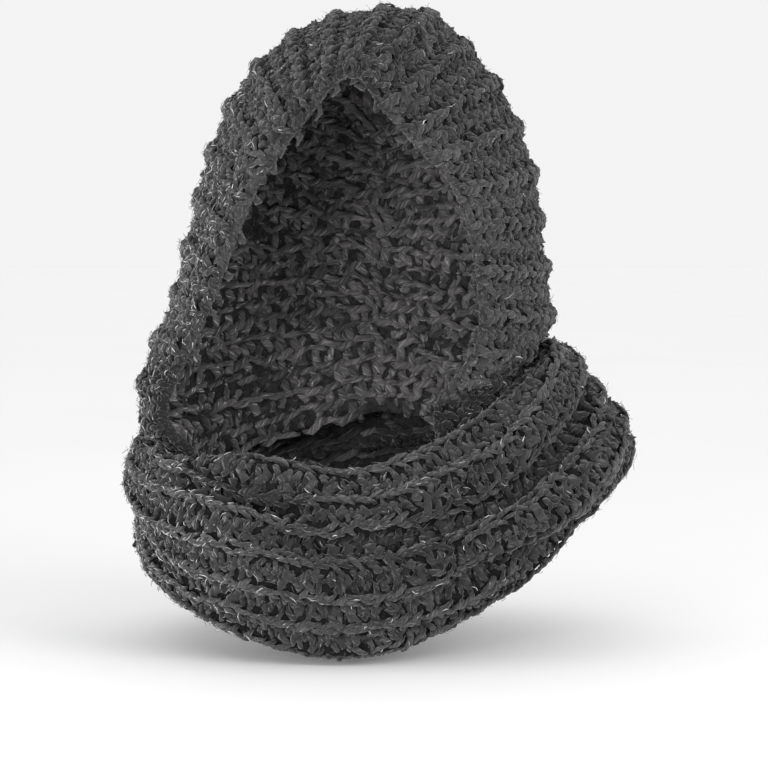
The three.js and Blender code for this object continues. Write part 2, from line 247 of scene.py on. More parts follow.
# For each piece's fibres: the strands' seed, and its share of the silvery ones.
FIBRE_SHARES = (("hood", 9, 0.6), ("cowl", 11, 1.0))
FLOOR_HALF = 12.0
SQUARE = ((-1, -1), (1, -1), (1, 1), (-1, 1))
LIGHTS = (("key", (-0.5, -1.1, -0.2), 0.5), ("fill", (1.3, -1.2, 0.4), 1.2))
LIGHT_TARGET = (0, 0, -0.2)
CAMERA_PLACE, CAMERA_TARGET = (0.0, -1.7, -0.125), (0.017, 0.0, -0.235)
LENS = 122.9
SHARE = {"subtype": "FACTOR", "min": 0, "max": 0.6}


def number(name, description, default, **kind):
    return bpy.props.FloatProperty(name=name, description=description, default=default, **kind)


def metres(name, description, default):
    return number(name, description, default, unit="LENGTH")


def degrees(name, description, default):
    return number(name, description, math.radians(default), subtype="ANGLE")


def whole(name, description, default):
    return bpy.props.IntProperty(name=name, description=description, default=default, min=1)


def tint(name, description, default):
    kind = {"size": 3, "subtype": "COLOR"}
    return bpy.props.FloatVectorProperty(name=name, description=description, default=default, **kind)


class SnoodSizes(bpy.types.PropertyGroup):
    """The sizes of the hood and the cowl"""

    wall: metres("Wall", "How thick the knitted wall is", 0.009)
    hood_reach: metres("Hood reach", "How far the hood reaches sideways", 0.145)
    hood_drop: metres("Hood drop", "From the crown to the hood's lowest part that shows", 0.26)
    face_forward: metres("Face forward", "How far forward the face edge reaches", 0.1)
    back_reach: metres("Back reach", "How far back the hood reaches", 0.126)
    edge_lean: degrees("Edge lean", "How far the hood has turned back at its face edge", 24)
    seam_aside: metres("Seam aside", "How far the back seam lies to the right", 0.014)
    drawn_in: metres("Drawn in", "Height over which the hood draws in to enter the cowl", 0.022)
    cowl_reach: metres("Cowl reach", "How far the cowl reaches sideways", 0.179)
    cowl_top: metres("Cowl top", "From the crown down to the cowl's rim", 0.21)
    cowl_drop: metres("Cowl drop", "From the cowl's rim down to its hem", 0.182)
    roll: metres("Roll", "Radius of the soft fold at the cowl's rim", 0.012)
    tuck: metres("Tuck", "Depth of the turned-in layer", 0.03)
    rib_pitch: metres("Rib pitch", "From one of the cowl's ribs to the next", 0.02)
    row_pitch: metres("Row pitch", "From one of the hood's rows to the next; every second is a rib", 0.0163)
    sag: number("Sag", "How many ribs the cowl's front hangs below its back", 2.6)
    hood_relief: metres("Hood relief", "How far the hood's ribs stand above its valleys", 0.0048)
    cowl_relief: metres("Cowl relief", "How far the cowl's ridges stand above its valleys", 0.004)


class SnoodYarn(bpy.types.PropertyGroup):
    """The sizes and colours of the yarn"""

    stitch_length: metres("Stitch", "From one stitch to the next along a row", 0.0079)
    strand_length: metres("Strand length", "How long a strand shows", 0.0118)
    strand_thickness: metres("Strand thickness", "How thick a strand is", 0.0043)
    unevenness: number("Unevenness", "How much the strands differ in size", 0.2, **SHARE)
    wander: degrees("Wander", "How much the strands differ in direction", 15)
    fuzz_count: whole("Fuzz", "How many loose fibres each piece has", 2500)
    fleck_count: whole("Flecks", "How many silvery fibres the cowl has", 750)
    dark: tint("Dark wool", "The darkest of the wool's fibres", (0.018, 0.0173, 0.018))
    mid: tint("Wool", "The wool's main colour", (0.062, 0.059, 0.061))
    pale: tint("Pale wool", "The palest of the wool's common fibres", (0.13, 0.1245, 0.128))
    fleck: tint("Fleck", "The silvery fibres", (0.75, 0.75, 0.77))


class SnoodStage(bpy.types.PropertyGroup):
    """The floor and the light"""

    floor_colour: tint("Floor", "The floor's colour", (0.95, 0.95, 0.95))
    sky: number("Sky", "How strong the light from all sides is", 0.9, min=0)
    key_power: number("Key light", "Power of the large light in front", 7.5, unit="POWER")
    fill_power: number("Fill light", "Power of the light on the other side", 12, unit="POWER")


def curve(share, start, start_slope, end, end_slope, span=1.0):
    """A smooth curve's point at a share of the way, from where it starts and ends and how it goes."""
    return (
        (2 * share**3 - 3 * share**2 + 1) * start
        + (share**3 - 2 * share**2 + share) * start_slope * span
        + (3 * share**2 - 2 * share**3) * end
        + (share**3 - share**2) * end_slope * span
    )


def read_table(table, places):
    """Smooth curves through a table's rows, read at many places: one array for each column."""
    rows = np.array(table["rows"], float)
    keys = rows[:, 0]
    places = np.asarray(places, float)
    to = np.clip(np.searchsorted(keys, places, side="left"), 1, len(keys) - 1)
    from_ = to - 1
    before = np.maximum(to - 2, 0)
    after = np.minimum(to + 1, len(keys) - 1)
    span = keys[to] - keys[from_]
    share = np.clip((places - keys[from_]) / span, 0, 1)[..., None]
    slope_from = (rows[to] - rows[before]) / np.maximum(keys[to] - keys[before], span)[..., None]
    slope_to = (rows[after] - rows[from_]) / np.maximum(keys[after] - keys[from_], span)[..., None]
    read = curve(share, rows[from_], slope_from, rows[to], slope_to, span[..., None])
    return {name: read[..., at] for at, name in enumerate(table["columns"])}


def mix(low, high, share):
    return low + (high - low) * share


def smooth_step(value, low, high):
    share = np.clip((value - low) / (high - low), 0, 1)
    return share * share * (3 - 2 * share)


def unit(vectors):
    return vectors / np.maximum(np.linalg.norm(vectors, axis=-1, keepdims=True), 1e-12)


def round_cowl(table, sizes, azimuths):
    """The reach and height that a table has at each azimuth, with no seam at the full turn."""
    rows = [(row[0] + turn, *row[1:]) for turn in (-360, 0, 360) for row in table["rows"]]
    read = read_table({"columns": table["columns"], "rows": rows}, np.mod(azimuths, 360))
    up = -sizes.cowl_top - read["down"] * sizes.cowl_drop
    return np.stack([read["reach"] * sizes.cowl_reach, up], axis=-1)


def rim_at(sizes, x, y):
    """The reach and height of the cowl's rim in the direction of a place."""
    return round_cowl(RIM, sizes, np.degrees(np.arctan2(x, -y)))


def way_along(line):
    """How far along a line each of its points lies."""
    steps = np.linalg.norm(np.diff(line, axis=0), axis=1)
    return np.concatenate([[0], np.cumsum(steps)])


def centripetal(points):
    """A smooth line through points, with more of them: points is (sections, points, 2)."""
    first = 2 * points[:, :1] - points[:, 1:2]
    last = 2 * points[:, -1:] - points[:, -2:-1]
    line = np.concatenate([first, points, last], axis=1)
    steps = np.sqrt(np.linalg.norm(np.diff(line, axis=1), axis=2))[..., None]
    share = (np.arange(CURVE_STEPS) / CURVE_STEPS)[None, :, None]
    pieces = []
    for at in range(points.shape[1] - 1):
        p0, p1, p2, p3 = (line[:, at + i] for i in range(4))
        s0, s1, s2 = (steps[:, at + i] for i in range(3))
        t1 = ((p1 - p0) / s0 - (p2 - p0) / (s0 + s1) + (p2 - p1) / s1) * s1
        t2 = ((p2 - p1) / s1 - (p3 - p1) / (s1 + s2) + (p3 - p2) / s2) * s1
        p1, p2, t1, t2 = (v[:, None, :] for v in (p1, p2, t1, t2))
        pieces.append(curve(share, p1, t1, p2, t2))
    return np.concatenate([*pieces, points[:, -1:]], axis=1)


def evenly(lines, count):
    """Each line again with count points, evenly spaced along it, and the lines' lengths."""
    ways = [way_along(line) for line in lines]
    out = np.empty((len(lines), count, lines.shape[2]))
    for at, (line, way) in enumerate(zip(lines, ways)):
        wanted = np.linspace(0, way[-1], count)
        for axis in range(lines.shape[2]):
            out[at, :, axis] = np.interp(wanted, way, line[:, axis])
    return out, np.array([way[-1] for way in ways])


def fold_push(sizes, azimuths, levels, lengths):
    """How far the folds move the cowl's wall outwards, and how deep in a crease it lies, which sets
    its painted shade there: both as (azimuths, levels)."""
    round_ = math.radians(1) * sizes.cowl_reach * 0.8
    push = np.zeros((len(azimuths), len(levels)))
    crease = np.zeros_like(push)
    for row in FOLDS["rows"]:
        fold = dict(zip(FOLDS["columns"], row))
        span_u = (fold["to_azimuth"] - fold["from_azimuth"]) * round_
        span_v = (fold["to_level"] - fold["from_level"]) * lengths[:, None]
        away_u = ((np.mod(azimuths - fold["from_azimuth"] + 90, 360) - 90) * round_)[:, None]
        away_v = (levels[None, :] - fold["from_level"]) * lengths[:, None]
        share = np.clip((away_u * span_u + away_v * span_v) / (span_u**2 + span_v**2), 0, 1)
        distance = np.hypot(away_u - span_u * share, away_v - span_v * share)
        distance /= fold["width"] * sizes.roll
        depth = fold["depth"] * sizes.roll * np.sqrt(np.maximum(4 * share * (1 - share), 0))
        push -= depth * np.exp(-(distance**2))
        push += depth * FOLD_SWELL * np.exp(-((distance - 2.2) ** 2))
        # The crease's painted shade: darkest along its line and towards its middle.
        pressed = min(fold["depth"], 1) * np.maximum(4 * share * (1 - share), 0.25) ** 0.2
        crease = np.maximum(crease, pressed * np.exp(-((distance / 1.5) ** 2)))
    return push, crease


class Face:
    """One face of the knitted cloth as a grid of points. Its rows run along the stitches, and a
    place on it is a fractional row and column."""

    def __init__(self, points, ribs, relief, closed, pairs=0.0, sag=0.0, depth=0.3):
        self.points = points
        self.relief = relief
        # How much painted shade darkens the valleys between the ribs.
        self.depth = depth
        self.pairs = pairs
        self.sag = sag
        # How much painted shade each point gets: in the cowl's creases and where the hood lies against it.
        self.crease_shade = np.zeros(points.shape[:2] + (1,))
        self.closed = closed
        self.ribs = ribs
        if closed:
            ahead = np.roll(points, -1, axis=1) - np.roll(points, 1, axis=1)
        else:
            ahead = np.gradient(points, axis=1)
        across = np.gradient(points, axis=0)
        self.normals = unit(np.cross(ahead, across))

    def read(self, grid, rows, columns):
        height, width = grid.shape[:2]
        rows = np.clip(rows, 0, height - 1)
        row = np.minimum(rows.astype(int), height - 2)
        if self.closed:
            column = np.floor(columns).astype(int)
        else:
            columns = np.clip(columns, 0, width - 1)
            column = np.minimum(columns.astype(int), width - 2)
        down, beside = (rows - row)[:, None], (columns - column)[:, None]
        left, right = column % width, (column + 1) % width
        upper = mix(grid[row, left], grid[row, right], beside)
        lower = mix(grid[row + 1, left], grid[row + 1, right], beside)
        return mix(upper, lower, down)

    def slant(self, columns):
        """How many ribs higher than at the front a level lies, at a column."""
        return self.sag / 2 * (1 - np.cos(2 * math.pi * columns / self.points.shape[1]))

    def rows_at(self, ribs, columns):
        return (ribs - self.slant(columns)) / self.ribs * (len(self.points) - 1)

    def frame_at(self, ribs, columns):
        """The place, outward direction, and directions along and across the rib."""
        rows = self.rows_at(ribs, columns)
        place = self.read(self.points, rows, columns)
        outward = unit(self.read(self.normals, rows, columns))
        ahead, behind = (
            self.read(self.points, self.rows_at(ribs, beside), beside)
            for beside in (columns + 0.5, columns - 0.5)
        )
        along = ahead - behind
        along = unit(along - outward * np.sum(along * outward, axis=1, keepdims=True))
        return place, outward, along, np.cross(outward, along)

    def spaced(self, rib, pitch):
        """The columns that are one pitch apart along a rib."""
        columns = np.arange(self.points.shape[1], dtype=float)
        line = self.read(self.points, self.rows_at(rib, columns), columns)
        if self.closed:
            line = np.concatenate([line, line[:1]])
        way = way_along(line)
        count = max(round(way[-1] / pitch), 3)
        return np.interp(np.arange(count) / count * way[-1], way, np.arange(len(line)))


def cowl_faces(sizes):
    """The cowl's outer face, from the turned-in end over the rim to the hem, and its inner one."""
    azimuths = np.linspace(0, 360, COWL_TURNS)[:-1]
    levels = np.linspace(0, 1, COWL_LEVELS)
    rim, belly, hem = (round_cowl(table, sizes, azimuths) for table in (RIM, BELLY, HEM))
    half = sizes.wall / 2
    rim_out, rim_up = rim[:, 0], rim[:, 1] - half
    widest, foot = belly[:, 0] - half, hem[:, 0] - half
    knots = (
        (rim_out - sizes.roll, rim_up - sizes.tuck),
        (rim_out - sizes.roll, rim_up - sizes.roll),
        (rim_out, rim_up),
        (mix(rim_out, widest, 0.52), mix(rim[:, 1], belly[:, 1], 0.45)),
        (widest, belly[:, 1]),
        (mix(widest, foot, 0.36), mix(belly[:, 1], hem[:, 1], 0.58)),
        (foot, hem[:, 1]),
    )
    knots = np.stack([np.stack(knot, -1) for knot in knots], axis=1)
    middle, lengths = evenly(centripetal(knots), COWL_LEVELS)
    ahead = unit(np.gradient(middle, axis=1))
    outwards = np.stack([-ahead[..., 1], ahead[..., 0]], axis=-1)
    push, crease = fold_push(sizes, azimuths, levels, lengths)
    # Painted shade on the roll's inner side, at the top of the turned-in layer where the hood lies against
    # it, more at the sides than at the front.
    aside = smooth_step(np.abs(np.mod(azimuths + 180, 360) - 180), 15, 35)[:, None]
    inside = mix(0.5, 1.2, aside) * (1 - smooth_step(levels, 0.11, 0.2))[None, :]
    crease = np.maximum(crease, inside)
    middle = middle + outwards * push[..., None]
    ribs = round(lengths[0] / sizes.rib_pitch)
    turn = np.radians(azimuths)[:, None]
    faces = []
    for side in (1, -1):
        points = lift_to_space(middle + outwards * half * side, turn)
        face = Face(points, ribs, sizes.cowl_relief, True, 0.0, sizes.sag, COWL_VALLEY_SHADE)
        if np.mean(np.sum(face.normals * lift_to_space(outwards * side, turn), axis=-1)) < 0:
            face.normals *= -1
        face.crease_shade = np.swapaxes(crease, 0, 1)[..., None]
        faces.append(face)
    return faces


def lift_to_space(section, turn):
    """A section at each turn, as a grid in space with a column for each turn."""
    out, up = section[..., 0], section[..., 1]
    grid = np.stack([out * np.sin(turn), -out * np.cos(turn), up], axis=-1)
    return np.swapaxes(grid, 0, 1)


def hood_grid(sizes, alongs, backs):
    """The hood's outer face, as (along, back), with its skirt drawn in to enter the cowl."""
    arch = {name: column[:, None] for name, column in read_table(ARCHES, alongs).items()}
    depth = {name: column[:, None] for name, column in read_table(DEPTHS, np.abs(alongs)).items()}
    back = backs[None, :]
    edge = (
        arch["edge_aside"] * sizes.hood_reach,
        -depth["forward"] * sizes.face_forward,
        -arch["edge_down"] * sizes.hood_drop,
    )
    wide = (
        arch["wide_aside"] * sizes.hood_reach,
        depth["wide_back"] * sizes.back_reach,
        -arch["wide_down"] * sizes.hood_drop,
    )
    seam = (sizes.seam_aside, depth["reach"] * sizes.back_reach, -depth["down"] * sizes.hood_drop)
    angle = mix(sizes.edge_lean, math.pi / 2, np.minimum(back / WIDEST, 1))
    turned = math.sin(sizes.edge_lean)
    out = (np.sin(angle) - turned) / (1 - turned)
    forward = np.cos(angle) / math.cos(sizes.edge_lean)
    front_part = (
        mix(edge[0], wide[0], out),
        mix(wide[1], edge[1], forward),
        mix(edge[2], wide[2], out),
    )
    angle = np.clip((back - WIDEST) / (1 - WIDEST), 0, 1) * math.pi / 2
    out = np.maximum(np.cos(angle), 0) ** BACK_FULLNESS
    behind = np.sin(angle) ** BACK_FULLNESS
    back_part = (
        mix(seam[0], wide[0], out),
        mix(wide[1], seam[1], behind),
        mix(wide[2], seam[2], 1 - np.cos(angle)),
    )
    x, y, z = (np.where(back < WIDEST, f, b) for f, b in zip(front_part, back_part))
    reach = np.hypot(x, y)
    rim = rim_at(sizes, x, y)
    seat = rim[..., 0] - sizes.roll - sizes.wall / 2 + SEAT
    share = 1 - smooth_step((z - rim[..., 1]) / sizes.drawn_in, -0.4, 0.6)
    drawn = mix(reach, seat, share) / reach
    return np.stack([x * drawn, y * drawn, z], axis=-1)


def hood_faces(sizes):
    """The hood's outer and inner face, from the left end of the skirt over the crown."""
    alongs = np.linspace(-1, 1, HOOD_ROWS)
    backs = np.linspace(0, 1, HOOD_COLUMNS)
    grid = hood_grid(sizes, alongs, backs)
    arch = hood_grid(sizes, np.linspace(-1, 0, 41), np.array([WIDEST]))[:, 0]
    ribs = 2 * round(way_along(arch)[-1] / sizes.row_pitch)
    outer = Face(grid, ribs, sizes.hood_relief, False, PAIRED)
    middle = HOOD_ROWS // 2
    if outer.normals[middle, HOOD_COLUMNS // 3, 2] < 0:
        outer.normals *= -1
    inner = Face(grid - outer.normals * sizes.wall, ribs, sizes.hood_relief, False, PAIRED)
    inner.normals = -outer.normals
    return outer, inner


def rib_height(face, ribs):
    """How far the face swells at a place across its rows, where every second row may be a rib."""
    wave = mix(np.cos(2 * math.pi * ribs), np.cos(math.pi * ribs), face.pairs)
    return face.relief / 2 * wave


def note(mesh, name, values, kind="FLOAT", field="value"):
    """Keeps a value for each of a mesh's vertices as an attribute."""
    attribute = mesh.attributes.new(name, kind, "POINT")
    attribute.data.foreach_set(field, np.ascontiguousarray(values).ravel())


def shell(name, outer, inner, under):
    """A closed wall between two faces, a little under the stitches on both."""
    ribs = np.linspace(0, outer.ribs, len(outer.points))[:, None]
    ribs = ribs + outer.slant(np.arange(outer.points.shape[1]))[None, :]
    lift = (rib_height(outer, ribs) - under)[..., None]
    upper = (outer.points + outer.normals * lift)[::WALL_STEP, ::WALL_STEP]
    lower = (inner.points - inner.normals * UNDER_LINING)[::WALL_STEP, ::WALL_STEP]
    height, width = upper.shape[:2]
    count = height * width
    index = np.arange(count).reshape(height, width)
    columns = range(width if outer.closed else width - 1)
    faces = []

    def close(a, b):
        faces.append((a, b, count + b, count + a))

    for row in range(height - 1):
        for column in columns:
            a, b = index[row, column], index[row, (column + 1) % width]
            c, d = index[row + 1, column], index[row + 1, (column + 1) % width]
            faces.append((a, b, d, c))
            faces.append((count + a, count + c, count + d, count + b))
    for column in columns:
        beside = (column + 1) % width
        close(index[0, beside], index[0, column])
        close(index[-1, column], index[-1, beside])
    if not outer.closed:
        for row in range(height - 1):
            close(index[row, 0], index[row + 1, 0])
    mesh = bpy.data.meshes.new(name)
    verts = np.concatenate([upper.reshape(-1, 3), lower.reshape(-1, 3)])
    faces = [tuple(int(at) for at in face) for face in faces]
    mesh.from_pydata(verts.tolist(), [], faces, shade_flat=False)
    note(mesh, "inside", np.repeat([0.0, 1.0], count))
    return mesh


def back_seam(face):
    """The pairs of vertices of the hood's wall that meet in its back seam."""
    height, width = face.points[::WALL_STEP, ::WALL_STEP].shape[:2]
    pairs = {}
    for row in range(height // 2):
        for layer in (0, height * width):
            last = layer + width - 1
            pairs[last + (height - 1 - row) * width] = last + row * width
    return pairs


def face_outwards(mesh, pairs=None):
    """Joins the pairs of vertices, where there are any, and turns every face outwards."""
    work = bmesh.new()
    work.from_mesh(mesh)
    if pairs:
        work.verts.ensure_lookup_table()
        joins = {work.verts[a]: work.verts[b] for a, b in pairs.items()}
        for a, b in joins.items():
            a.co = b.co = (a.co + b.co) / 2
        bmesh.ops.weld_verts(work, targetmap=joins)
    bmesh.ops.recalc_face_normals(work, faces=work.faces)
    work.to_mesh(mesh)
    work.free()
    return mesh


def added(name, data):
    """A new object in the scene."""
    item = bpy.data.objects.new(name, data)
    bpy.context.scene.collection.objects.link(item)
    return item


def put(name, mesh, wool, replaced=()):
    """Adds a piece of the hood or the cowl to the scene, in one of the wools."""
    piece = added(name, mesh)
    mesh.materials.clear()
    mesh.materials.append(material(wool))
    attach(piece, BODY)
    if replaced:
        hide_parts(*replaced)


def yarn_mesh(name, sides, segments, twist, flat, arch, sway, bow):
    """A short length of yarn along X, one long and one thick: an oval that twists, with its ends
    dipped into the cloth."""
    verts, faces, turns = [], [], []
    shares = [0.5 - 0.5 * math.cos(math.pi * step / segments) for step in range(segments + 1)]
    for share in shares:
        x = share - 0.5
        swell = 0.5 * (0.5 + 0.5 * math.sqrt(max(math.sin(math.pi * share), 0)))
        wound = math.radians(twist) * x
        y = sway * math.sin(2 * math.pi * share) + bow * (1 - (2 * x) ** 2)
        z = -arch * (2 * x) ** 2
        for side in range(sides):
            angle = 2 * math.pi * side / sides
            wide, thin = (1 + flat) * math.cos(angle), (1 - flat) * math.sin(angle)
            aside = wide * math.cos(wound) - thin * math.sin(wound)
            up = wide * math.sin(wound) + thin * math.cos(wound)
            verts.append((x, y + swell * aside, z + swell * up))
    for step in range(segments):
        for side in range(sides):
            a = step * sides + side
            b = step * sides + (side + 1) % sides
            faces.append((a, b, b + sides, a + sides))
            low, high = shares[step], shares[step + 1]
            beside, beyond = side / sides, (side + 1) / sides
            turns.append([(low, beside), (low, beyond), (high, beyond), (high, beside)])
    ends = [list(range(sides)), [segments * sides + side for side in reversed(range(sides))]]
    for end, ring in enumerate(ends):
        faces.append(tuple(ring))
        turns.append([(end, at % sides / sides) for at in ring])
    mesh = bpy.data.meshes.new(name)
    mesh.from_pydata(verts, [], faces, shade_flat=False)
    # How low each vertex lies, for the painted shade where the strand dips into the cloth.
    note(mesh, "low", [-vert[2] for vert in verts])
    layer = mesh.uv_layers.new(name="turn")
    layer.data.foreach_set("uv", [v for face in turns for corner in face for v in corner])
    return face_outwards(mesh)


# The lengths of yarn that a stitch is picked from, by form: sides, segments, twist in degrees over
# the length, and flat, arch, sway and bow as shares of the yarn's thickness.
FORMS = (
    (
        (6, 4, 150, 0.2, 0.55, 0.15, 0.1),
        (6, 4, -150, 0.2, 0.6, -0.15, -0.1),
    ),
    (
        (6, 3, 120, 0.1, 0.8, 0.1, 0.45),
        (6, 3, -120, 0.1, 0.75, -0.1, -0.45),
        (6, 3, 140, 0.12, 0.85, 0.25, 0.3),
        (6, 3, -140, 0.12, 0.7, -0.25, -0.3),
    ),
    (
        (5, 3, 120, 0.15, 0.6, 0.2, 0.3),
        (5, 3, -120, 0.15, 0.6, -0.2, -0.3),
    ),
    (
        (3, 2, 0, 0.0, 0.5, 0.3, 1.0),
        (3, 2, 0, 0.0, 0.5, -0.3, -1.4),
    ),
)
# How much the lengths of the first three forms stray from their angle.
STRAY = (1.0, 1.6, 0.7)


def form_range(form):
    """The first number and the count of the lengths of yarn in one form."""
    counts = [len(lengths) for lengths in FORMS]
    return sum(counts[:form]), counts[form]


def strand_collection():
    """The lengths of yarn as objects in a collection of their own, removed at the end."""
    group = bpy.data.collections.new("lengths")
    lengths = [length for form in FORMS for length in form]
    for at, length in enumerate(lengths):
        mesh = yarn_mesh(f"length_{at:02d}", *length)
        group.objects.link(bpy.data.objects.new(f"length_{at:02d}", mesh))
    return group


class Tree:
    """A node tree, with short ways to add to it."""

    def __init__(self, tree):
        self.tree = tree

    def node(self, kind, inputs=None, **settings):
        node = self.tree.nodes.new(kind)
        for key, value in settings.items():
            setattr(node, key, value)
        for key, value in (inputs or {}).items():
            self.give(node.inputs[key], value)
        return node

    def add(self, kind, inputs=None, output=0, **settings):
        """The output of a new node, which is its first one where no other is named."""
        return self.node(kind, inputs, **settings).outputs[output]

    def give(self, socket, value):
        if isinstance(value, bpy.types.NodeSocket):
            self.tree.links.new(value, socket)
        else:
            socket.default_value = value

    def math(self, operation, a, b=0.0):
        return self.add("ShaderNodeMath", {0: a, 1: b}, operation=operation)

    def plus(self, a, b):
        return self.math("ADD", a, b)

    def times(self, a, b):
        return self.math("MULTIPLY", a, b)

    def times_vector(self, a, b):
        return self.add("ShaderNodeVectorMath", {0: a, 1: b}, operation="MULTIPLY")


def strand_tree():
    """Nodes that lay one strand on each point, turned and sized by the point's attributes."""
    group = bpy.data.node_groups.new("Strands on points", "GeometryNodeTree")
    sockets = {
        "Points": "Geometry",
        "Strands": "Collection",
        "Strand length": "Float",
        "Strand thickness": "Float",
        "Unevenness": "Float",
        "Seed": "Int",
        "Yarn": "Material",
    }
    for name, kind in sockets.items():
        group.interface.new_socket(name, in_out="INPUT", socket_type=f"NodeSocket{kind}")
    group.interface.new_socket("Cloth", in_out="OUTPUT", socket_type="NodeSocketGeometry")
    nodes = Tree(group)
    given = nodes.node("NodeGroupInput").outputs

    def attribute(name, kind="FLOAT_VECTOR"):
        return nodes.add("GeometryNodeInputNamedAttribute", {"Name": name}, "Attribute", data_type=kind)

    axes = {"primary_axis": "X", "secondary_axis": "Z"}
    lay, outward = attribute("lay"), attribute("outward")
    turn = nodes.add("FunctionNodeAxesToRotation", {0: lay, 1: outward}, **axes)
    thick, differs = given["Strand thickness"], given["Unevenness"]
    size = nodes.add("ShaderNodeCombineXYZ", {0: given["Strand length"], 1: thick, 2: thick})
    limits = {
        "Min": nodes.math("SUBTRACT", 1.0, differs),
        "Max": nodes.plus(1.0, differs),
        "Seed": given["Seed"],
    }
    uneven = nodes.add("FunctionNodeRandomValue", limits, "Value", data_type="FLOAT_VECTOR")
    scale = nodes.times_vector(nodes.times_vector(size, attribute("share")), uneven)
    picked = {"Collection": given["Strands"], "Separate Children": True, "Reset Children": True}
    strands = {
        "Points": given["Points"],
        "Instance": nodes.add("GeometryNodeCollectionInfo", picked, "Instances"),
        "Pick Instance": True,
        "Instance Index": attribute("kind", "INT"),
        "Rotation": turn,
        "Scale": scale,
    }
    laid = nodes.add("GeometryNodeInstanceOnPoints", strands, "Instances")
    real = nodes.add("GeometryNodeRealizeInstances", {"Geometry": laid}, "Geometry")
    cloth = {"Geometry": real, "Material": given["Yarn"]}
    nodes.node("NodeGroupOutput", {"Cloth": nodes.add("GeometryNodeSetMaterial", cloth, "Geometry")})
    return group


def points_mesh(name, strands):
    """One vertex for each strand, with how it lies as attributes."""
    mesh = bpy.data.meshes.new(name)
    mesh.from_pydata(strands["place"].tolist(), [], [])
    for key in ("lay", "outward", "share"):
        note(mesh, key, strands[key], "FLOAT_VECTOR", "vector")
    note(mesh, "kind", strands["kind"], "INT")
    note(mesh, "shade", strands["shade"])
    return mesh


def knit(name, strands, wool, seed):
    """Lays the strands with the nodes, and keeps the result as a plain mesh."""
    yarn, tree = bpy.context.scene.snood_yarn, shared("tree")
    source = added(f"{name}_points", points_mesh(f"{name}_points", strands))
    modifier = source.modifiers.new("strands", "NODES")
    modifier.node_group = tree
    values = {
        "Strands": shared("strands"),
        "Strand length": yarn.strand_length,
        "Strand thickness": yarn.strand_thickness,
        "Unevenness": yarn.unevenness,
        "Seed": seed,
        "Yarn": material(wool),
    }
    for item in tree.interface.items_tree:
        if item.name in values:
            modifier[item.identifier] = values[item.name]
    bpy.context.view_layer.update()
    result = source.evaluated_get(bpy.context.evaluated_depsgraph_get())
    mesh = bpy.data.meshes.new_from_object(result)
    mesh.name = name
    source.modifiers.clear()
    bpy.data.objects.remove(source)
    if not len(mesh.polygons):
        raise RuntimeError(f"{name} has no strands")
    for key in ("lay", "outward", "share", "kind"):
        if key in mesh.attributes:
            mesh.attributes.remove(mesh.attributes[key])
    put(name, mesh, wool)


def chosen(strands, mask):
    return {key: value[mask] for key, value in strands.items()}


def gathered(parts):
    return {key: np.concatenate([part[key] for part in parts]) for key in parts[0]}


def wavering(rng, count, every, spread):
    """A random value for each of count stitches, which changes slowly."""
    knots = count // every + 2
    return np.interp(np.arange(count) / every, np.arange(knots), rng.normal(0, spread, knots))


def stitches(face, table, yarn, first_rib, last_rib, rng, flip=1.0, spread=1.0):
    """Every length of yarn in the stitches between two ribs of a face. Flip turns their slant
    round, and spread sets them further apart."""
    parts = []
    rows = [dict(zip(table["columns"], row)) for row in table["rows"]]
    width = face.points.shape[1]
    past = 1 + math.ceil(face.sag) if last_rib == face.ribs else 0
    for rib in range(first_rib, last_rib + past):
        base = face.spaced(rib + 0.5, yarn.stitch_length * spread)
        count = len(base)
        far = np.concatenate([base, base[:1] + width]) if face.closed else np.append(base, width - 1)
        drift = wavering(rng, count, 4, 0.05)
        puff = wavering(rng, count, 3, 0.5)
        for row in rows:
            beside = np.arange(count) + row["along"] + rng.normal(0, LOOSE_ALONG, count) + 0.5 * (rib % 2)
            if face.closed:
                beside = np.mod(beside, count)
            columns = np.interp(beside, np.arange(count + 1), far)
            ribs = rib + row["across"] + drift + rng.normal(0, LOOSE_ACROSS, count)
            place, outward, along, across = face.frame_at(ribs, columns)
            stray = rng.normal(0, yarn.wander * STRAY[row["form"]], count)
            angle = math.radians(row["angle"]) * flip + stray
            lay = along * np.cos(angle)[:, None] + across * np.sin(angle)[:, None]
            lay = unit(lay + outward * rng.normal(0, LOOSE_OUT, count)[:, None])
            swell = rib_height(face, ribs)
            lift = swell + (row["lift"] + puff * PUFF) * MM
            lift = lift - yarn.strand_thickness * SUNK + rng.normal(0, LOOSE_LIFT, count)
            first, forms = form_range(row["form"])
            kind = first + rng.integers(0, forms, count)
            level = face.rows_at(ribs, columns)
            crease_shade = face.read(face.crease_shade, level, columns)[:, 0]
            valley = 0.5 - swell / face.relief
            # Random tone, with painted light on the ridge's yarns and painted shade on the others.
            tone = rng.random(count) + (RIDGE_PAINTED_LIGHT if row["form"] == 0 else REST_PAINTED_SHADE)
            size = (row["length"], row["thickness"], row["thickness"])
            part = {
                "place": place + outward * lift[:, None],
                "lay": lay,
                "outward": outward,
                "share": np.tile(size, (count, 1)),
                "kind": kind,
                # Painted shade in creases and in the valleys between the ribs.
                "shade": tone - CREASE_PAINTED_SHADE * crease_shade - face.depth * valley**1.5,
                "level": level,
            }
            parts.append(part)
    strands = gathered(parts)
    level = strands.pop("level")
    return chosen(strands, (level >= 0) & (level <= len(face.points) - 4))


def under_hood(strands, sizes):
    """Which lengths of the cowl's yarn the hood's skirt covers, on the turned-in layer."""
    place = strands["place"]
    azimuth = np.degrees(np.arctan2(place[:, 0], -place[:, 1]))
    rim = rim_at(sizes, place[:, 0], place[:, 1])
    inside = np.hypot(place[:, 0], place[:, 1]) < rim[:, 0] - sizes.roll / 2
    return inside & (place[:, 2] < rim[:, 1] - 12 * MM) & (np.abs(azimuth) > 60)


